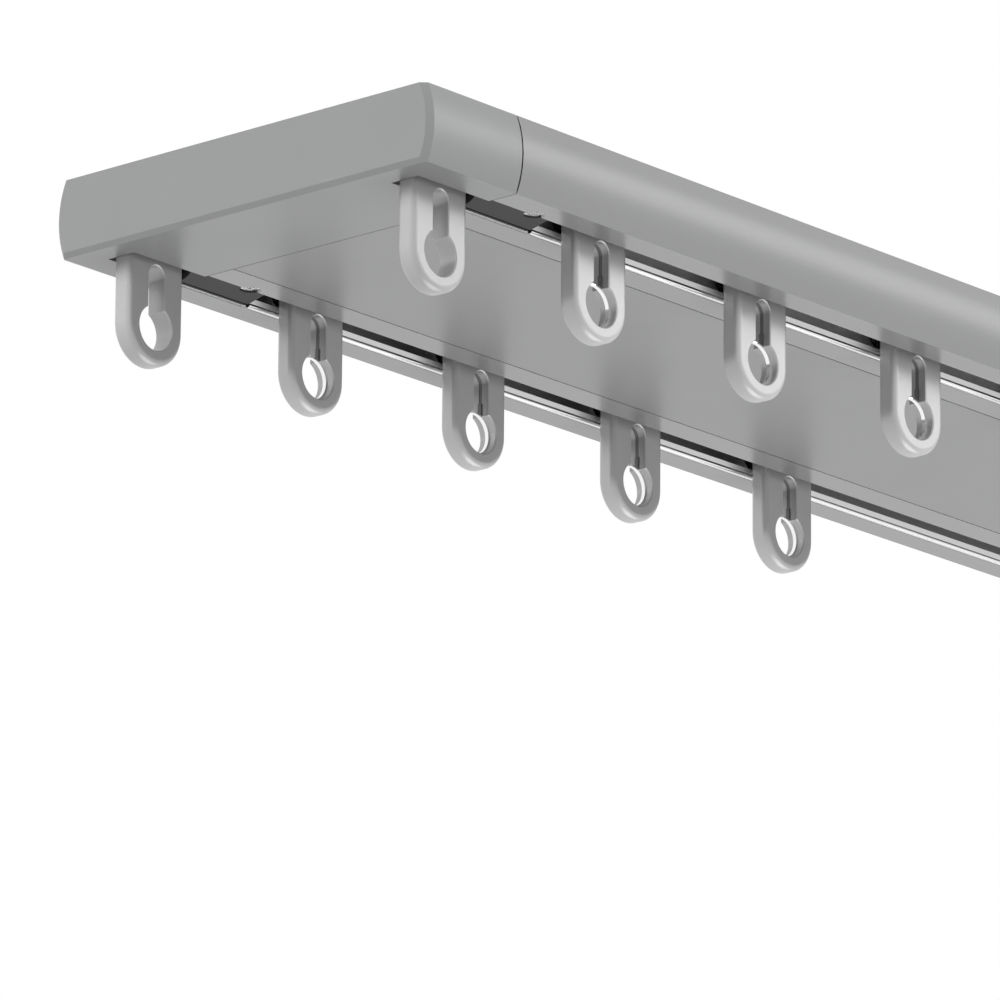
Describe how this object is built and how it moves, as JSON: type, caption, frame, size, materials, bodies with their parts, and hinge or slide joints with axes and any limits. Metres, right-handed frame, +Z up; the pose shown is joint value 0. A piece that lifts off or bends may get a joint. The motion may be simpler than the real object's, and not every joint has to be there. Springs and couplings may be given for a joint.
{
  "type": "double curtain track",
  "caption": "Low double curtain track for a ceiling: bowed grey rail with two slots, end caps, fixed end hooks and roller gliders with keyhole eyes.",
  "frame": {"origin": "centre of the flat top face, which lies against the ceiling", "axes": "+X along the track away from the end cap that the picture shows, +Y across it to the far row of gliders, +Z up into the ceiling"},
  "size_m": [0.5, 0.0906, 0.0338],
  "materials": {
    "rail": "satin grey anodised",
    "cover": "satin, matched to the rail",
    "cap": "satin, matched to the rail",
    "connector": "dark grey moulding",
    "screw": "bright nickel",
    "hook": "light grey, slightly glossy",
    "hanger": "light grey, slightly glossy",
    "plate": "polished edge",
    "axle": "polished",
    "wheel": "black, glossy tread and duller discs"
  },
  "bodies": {
    "track": {"track_profile": "rail", "centre_cover": "cover", "end_cap_left": "cap", "end_cap_right": "cap", "connector_screws": "screw", "near_connector_left": "connector", "near_end_hook_left": "hook", "near_connector_right": "connector", "near_end_hook_right": "hook", "far_connector_left": "connector", "far_end_hook_left": "hook", "far_connector_right": "connector", "far_end_hook_right": "hook"},
    "near_glider_1_carriage": {"near_glider_1_axle": "axle"},
    "near_glider_1_swing": {"near_glider_1_hanger": "hanger", "near_glider_1_plate": "plate"},
    "near_glider_1_front_roller": {"near_glider_1_wheel_front": "wheel"},
    "near_glider_1_back_roller": {"near_glider_1_wheel_back": "wheel"},
    "near_glider_2_carriage": {"near_glider_2_axle": "axle"},
    "near_glider_2_swing": {"near_glider_2_hanger": "hanger", "near_glider_2_plate": "plate"},
    "near_glider_2_front_roller": {"near_glider_2_wheel_front": "wheel"},
    "near_glider_2_back_roller": {"near_glider_2_wheel_back": "wheel"},
    "near_glider_3_carriage": {"near_glider_3_axle": "axle"},
    "near_glider_3_swing": {"near_glider_3_hanger": "hanger", "near_glider_3_plate": "plate"},
    "near_glider_3_front_roller": {"near_glider_3_wheel_front": "wheel"},
    "near_glider_3_back_roller": {"near_glider_3_wheel_back": "wheel"},
    "near_glider_4_carriage": {"near_glider_4_axle": "axle"},
    "near_glider_4_swing": {"near_glider_4_hanger": "hanger", "near_glider_4_plate": "plate"},
    "near_glider_4_front_roller": {"near_glider_4_wheel_front": "wheel"},
    "near_glider_4_back_roller": {"near_glider_4_wheel_back": "wheel"},
    "far_glider_1_carriage": {"far_glider_1_axle": "axle"},
    "far_glider_1_swing": {"far_glider_1_hanger": "hanger", "far_glider_1_plate": "plate"},
    "far_glider_1_front_roller": {"far_glider_1_wheel_front": "wheel"},
    "far_glider_1_back_roller": {"far_glider_1_wheel_back": "wheel"},
    "far_glider_2_carriage": {"far_glider_2_axle": "axle"},
    "far_glider_2_swing": {"far_glider_2_hanger": "hanger", "far_glider_2_plate": "plate"},
    "far_glider_2_front_roller": {"far_glider_2_wheel_front": "wheel"},
    "far_glider_2_back_roller": {"far_glider_2_wheel_back": "wheel"},
    "far_glider_3_carriage": {"far_glider_3_axle": "axle"},
    "far_glider_3_swing": {"far_glider_3_hanger": "hanger", "far_glider_3_plate": "plate"},
    "far_glider_3_front_roller": {"far_glider_3_wheel_front": "wheel"},
    "far_glider_3_back_roller": {"far_glider_3_wheel_back": "wheel"},
    "far_glider_4_carriage": {"far_glider_4_axle": "axle"},
    "far_glider_4_swing": {"far_glider_4_hanger": "hanger", "far_glider_4_plate": "plate"},
    "far_glider_4_front_roller": {"far_glider_4_wheel_front": "wheel"},
    "far_glider_4_back_roller": {"far_glider_4_wheel_back": "wheel"}
  },
  "joints": [
    {"name": "near_glider_1_slide", "type": "slide", "parent": "track", "child": "near_glider_1_carriage", "axis": [1, 0, 0], "range_m": [-0.0017, 0.0512]},
    {"name": "near_glider_1_sway", "type": "hinge", "parent": "near_glider_1_carriage", "child": "near_glider_1_swing", "pos_m": [-0.1933, -0.0342, -0.00755], "axis": [0, 1, 0], "range_deg": [-30, 30]},
    {"name": "near_glider_1_front_spin", "type": "hinge", "parent": "near_glider_1_carriage", "child": "near_glider_1_front_roller", "pos_m": [-0.1933, -0.0342, -0.00755], "axis": [0, 1, 0], "continuous": true},
    {"name": "near_glider_1_back_spin", "type": "hinge", "parent": "near_glider_1_carriage", "child": "near_glider_1_back_roller", "pos_m": [-0.1933, -0.0342, -0.00755], "axis": [0, 1, 0], "continuous": true},
    {"name": "near_glider_2_slide", "type": "slide", "parent": "near_glider_1_carriage", "child": "near_glider_2_carriage", "axis": [1, 0, 0], "range_m": [-0.0283, 0.0494]},
    {"name": "near_glider_2_sway", "type": "hinge", "parent": "near_glider_2_carriage", "child": "near_glider_2_swing", "pos_m": [-0.148, -0.0342, -0.00755], "axis": [0, 1, 0], "range_deg": [-30, 30]},
    {"name": "near_glider_2_front_spin", "type": "hinge", "parent": "near_glider_2_carriage", "child": "near_glider_2_front_roller", "pos_m": [-0.148, -0.0342, -0.00755], "axis": [0, 1, 0], "continuous": true},
    {"name": "near_glider_2_back_spin", "type": "hinge", "parent": "near_glider_2_carriage", "child": "near_glider_2_back_roller", "pos_m": [-0.148, -0.0342, -0.00755], "axis": [0, 1, 0], "continuous": true},
    {"name": "near_glider_3_slide", "type": "slide", "parent": "near_glider_2_carriage", "child": "near_glider_3_carriage", "axis": [1, 0, 0], "range_m": [-0.0283, 0.0494]},
    {"name": "near_glider_3_sway", "type": "hinge", "parent": "near_glider_3_carriage", "child": "near_glider_3_swing", "pos_m": [-0.1027, -0.0342, -0.00755], "axis": [0, 1, 0], "range_deg": [-30, 30]},
    {"name": "near_glider_3_front_spin", "type": "hinge", "parent": "near_glider_3_carriage", "child": "near_glider_3_front_roller", "pos_m": [-0.1027, -0.0342, -0.00755], "axis": [0, 1, 0], "continuous": true},
    {"name": "near_glider_3_back_spin", "type": "hinge", "parent": "near_glider_3_carriage", "child": "near_glider_3_back_roller", "pos_m": [-0.1027, -0.0342, -0.00755], "axis": [0, 1, 0], "continuous": true},
    {"name": "near_glider_4_slide", "type": "slide", "parent": "near_glider_3_carriage", "child": "near_glider_4_carriage", "axis": [1, 0, 0], "range_m": [-0.0283, 0.0494]},
    {"name": "near_glider_4_sway", "type": "hinge", "parent": "near_glider_4_carriage", "child": "near_glider_4_swing", "pos_m": [-0.0574, -0.0342, -0.00755], "axis": [0, 1, 0], "range_deg": [-30, 30]},
    {"name": "near_glider_4_front_spin", "type": "hinge", "parent": "near_glider_4_carriage", "child": "near_glider_4_front_roller", "pos_m": [-0.0574, -0.0342, -0.00755], "axis": [0, 1, 0], "continuous": true},
    {"name": "near_glider_4_back_spin", "type": "hinge", "parent": "near_glider_4_carriage", "child": "near_glider_4_back_roller", "pos_m": [-0.0574, -0.0342, -0.00755], "axis": [0, 1, 0], "continuous": true},
    {"name": "far_glider_1_slide", "type": "slide", "parent": "track", "child": "far_glider_1_carriage", "axis": [1, 0, 0], "range_m": [-0.0017, 0.0512]},
    {"name": "far_glider_1_sway", "type": "hinge", "parent": "far_glider_1_carriage", "child": "far_glider_1_swing", "pos_m": [-0.1933, 0.0342, -0.00755], "axis": [0, 1, 0], "range_deg": [-30, 30]},
    {"name": "far_glider_1_front_spin", "type": "hinge", "parent": "far_glider_1_carriage", "child": "far_glider_1_front_roller", "pos_m": [-0.1933, 0.0342, -0.00755], "axis": [0, 1, 0], "continuous": true},
    {"name": "far_glider_1_back_spin", "type": "hinge", "parent": "far_glider_1_carriage", "child": "far_glider_1_back_roller", "pos_m": [-0.1933, 0.0342, -0.00755], "axis": [0, 1, 0], "continuous": true},
    {"name": "far_glider_2_slide", "type": "slide", "parent": "far_glider_1_carriage", "child": "far_glider_2_carriage", "axis": [1, 0, 0], "range_m": [-0.0283, 0.0494]},
    {"name": "far_glider_2_sway", "type": "hinge", "parent": "far_glider_2_carriage", "child": "far_glider_2_swing", "pos_m": [-0.148, 0.0342, -0.00755], "axis": [0, 1, 0], "range_deg": [-30, 30]},
    {"name": "far_glider_2_front_spin", "type": "hinge", "parent": "far_glider_2_carriage", "child": "far_glider_2_front_roller", "pos_m": [-0.148, 0.0342, -0.00755], "axis": [0, 1, 0], "continuous": true},
    {"name": "far_glider_2_back_spin", "type": "hinge", "parent": "far_glider_2_carriage", "child": "far_glider_2_back_roller", "pos_m": [-0.148, 0.0342, -0.00755], "axis": [0, 1, 0], "continuous": true},
    {"name": "far_glider_3_slide", "type": "slide", "parent": "far_glider_2_carriage", "child": "far_glider_3_carriage", "axis": [1, 0, 0], "range_m": [-0.0283, 0.0494]},
    {"name": "far_glider_3_sway", "type": "hinge", "parent": "far_glider_3_carriage", "child": "far_glider_3_swing", "pos_m": [-0.1027, 0.0342, -0.00755], "axis": [0, 1, 0], "range_deg": [-30, 30]},
    {"name": "far_glider_3_front_spin", "type": "hinge", "parent": "far_glider_3_carriage", "child": "far_glider_3_front_roller", "pos_m": [-0.1027, 0.0342, -0.00755], "axis": [0, 1, 0], "continuous": true},
    {"name": "far_glider_3_back_spin", "type": "hinge", "parent": "far_glider_3_carriage", "child": "far_glider_3_back_roller", "pos_m": [-0.1027, 0.0342, -0.00755], "axis": [0, 1, 0], "continuous": true},
    {"name": "far_glider_4_slide", "type": "slide", "parent": "far_glider_3_carriage", "child": "far_glider_4_carriage", "axis": [1, 0, 0], "range_m": [-0.0283, 0.0494]},
    {"name": "far_glider_4_sway", "type": "hinge", "parent": "far_glider_4_carriage", "child": "far_glider_4_swing", "pos_m": [-0.0574, 0.0342, -0.00755], "axis": [0, 1, 0], "range_deg": [-30, 30]},
    {"name": "far_glider_4_front_spin", "type": "hinge", "parent": "far_glider_4_carriage", "child": "far_glider_4_front_roller", "pos_m": [-0.0574, 0.0342, -0.00755], "axis": [0, 1, 0], "continuous": true},
    {"name": "far_glider_4_back_spin", "type": "hinge", "parent": "far_glider_4_carriage", "child": "far_glider_4_back_roller", "pos_m": [-0.0574, 0.0342, -0.00755], "axis": [0, 1, 0], "continuous": true}
  ]
}
